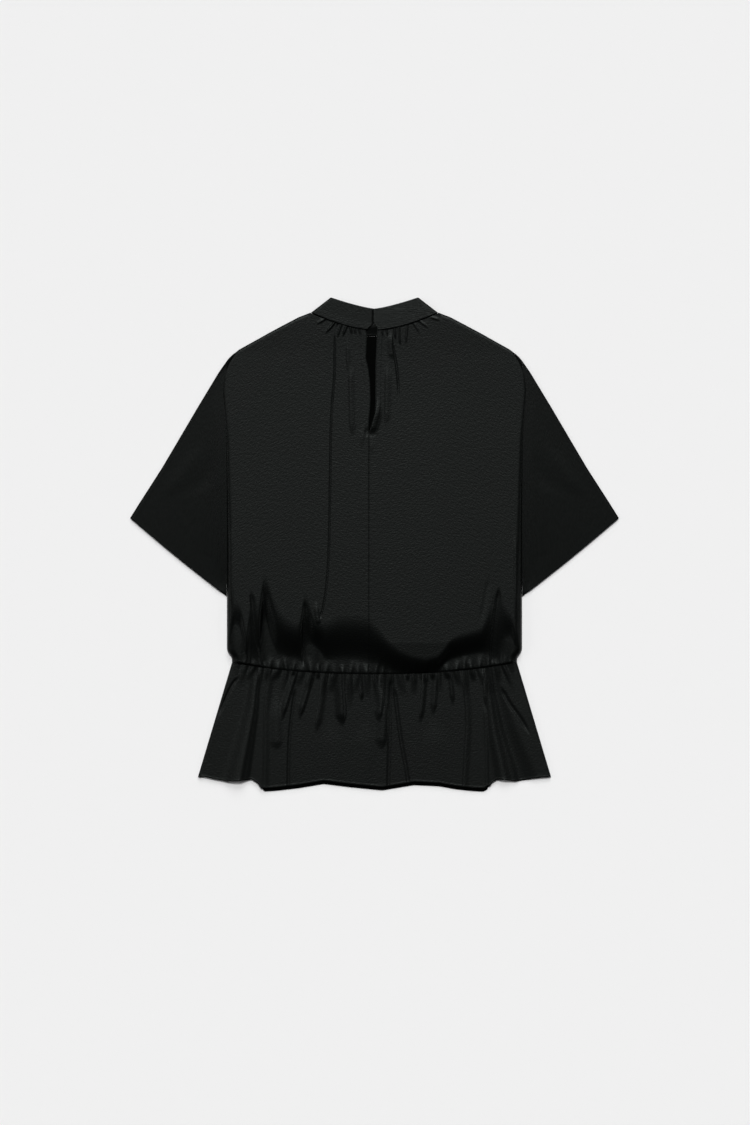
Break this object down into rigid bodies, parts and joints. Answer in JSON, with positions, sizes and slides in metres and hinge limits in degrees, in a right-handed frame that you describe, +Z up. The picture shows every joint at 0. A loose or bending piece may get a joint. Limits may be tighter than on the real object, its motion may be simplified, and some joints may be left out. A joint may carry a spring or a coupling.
{
  "type": "satin blouse",
  "caption": "Black satin blouse laid flat with its back upwards: stand collar over a keyhole slit, wide short sleeves, gathered elastic waist and flared peplum.",
  "frame": {"origin": "middle of the blouse's outline, on the surface that it lies on", "axes": "+X to the right across the back as seen from above, +Y from the hem to the neck, +Z up, out of the upward back"},
  "size_m": [0.645, 0.6517, 0.0066],
  "materials": {
    "satin": "black satin weave with a soft sheen",
    "elastic": "matt black woven elastic"
  },
  "bodies": {
    "root": {"bodice_front": "satin", "bodice_back_left": "satin", "bodice_back_right": "satin", "sleeve_left": "satin", "sleeve_right": "satin", "collar": "satin", "peplum_front": "satin", "peplum_back": "satin", "waist_elastic": "elastic"}
  },
  "joints": []
}
